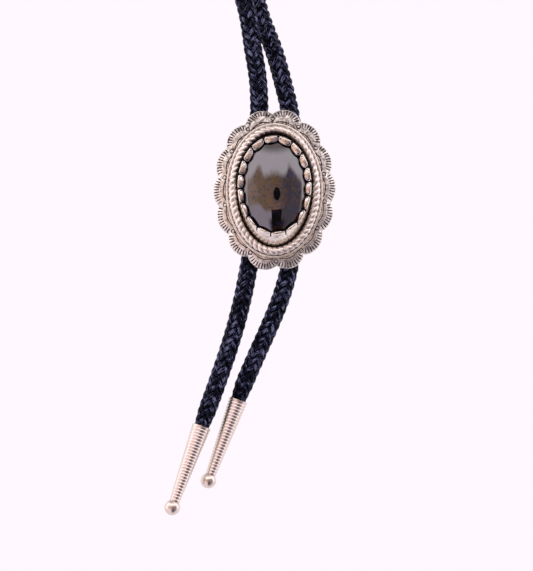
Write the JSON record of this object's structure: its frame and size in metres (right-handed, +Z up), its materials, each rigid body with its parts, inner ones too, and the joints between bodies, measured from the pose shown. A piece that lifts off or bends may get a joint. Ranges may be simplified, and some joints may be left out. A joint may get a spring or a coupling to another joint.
{
  "type": "bolo tie",
  "caption": "Bolo tie: scalloped oval metal slide with rope edging and a dark domed stone, clipped to a round braided neck cord with ringed metal tips.",
  "frame": {"origin": "inner side of the neck loop at the nape, where the tie hangs on the neck", "axes": "+Z up, the slide's face towards -Y, +X to the right seen from the front"},
  "size_m": [0.1428, 0.1982, 0.3483],
  "materials": {
    "antique_silver": "polished silver tone with dark patina in the recesses",
    "dark_stone": "high polish on dark mottled stone",
    "black_braid": "tight round braid with a slight sheen",
    "bright_nickel": "bright polish"
  },
  "bodies": {
    "root": {"slide_setting": "antique_silver", "stone": "dark_stone", "cord_clip": "antique_silver", "neck_cord": "black_braid", "tail_cord_left": "black_braid", "tail_cord_right": "black_braid", "tip_left": "bright_nickel", "tip_right": "bright_nickel"}
  },
  "joints": []
}
